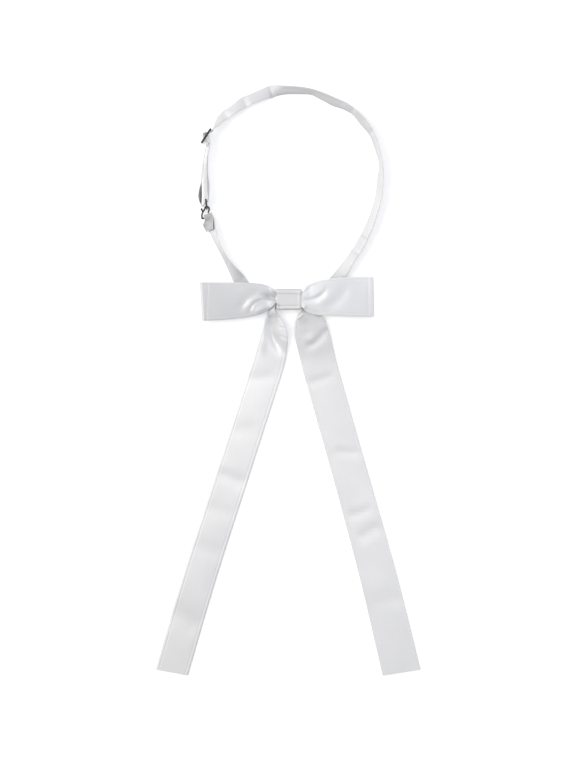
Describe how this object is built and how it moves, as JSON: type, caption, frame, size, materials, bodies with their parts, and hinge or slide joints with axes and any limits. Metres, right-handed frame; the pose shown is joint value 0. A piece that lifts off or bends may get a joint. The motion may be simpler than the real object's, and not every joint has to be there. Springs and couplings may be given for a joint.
{
  "type": "pre-tied bow tie",
  "caption": "Pre-tied satin bow tie with flat loops, a wrapped knot, long straight-cut tails and an adjustable neck strap closed by a metal slider, ring and hook.",
  "frame": {"origin": "middle of the knot's flat back, where it rests on the table", "axes": "+X towards the bow's right loop seen from the front, +Y from the knot up along the neck loop, +Z out of the front of the bow, away from the table"},
  "size_m": [0.2122, 0.4723, 0.0136],
  "materials": {
    "satin_ribbon": "pearl white polyester satin, soft sheen",
    "satin_strap": "pearl white narrow satin ribbon",
    "black_metal": "black enamelled metal, semi-gloss"
  },
  "bodies": {
    "root": {"bow_loop_left": "satin_ribbon", "bow_loop_right": "satin_ribbon", "tail_left": "satin_ribbon", "tail_right": "satin_ribbon", "knot_wrap": "satin_ribbon", "neck_strap": "satin_strap", "strap_slider": "black_metal", "strap_ring": "black_metal", "strap_hook": "black_metal"}
  },
  "joints": []
}
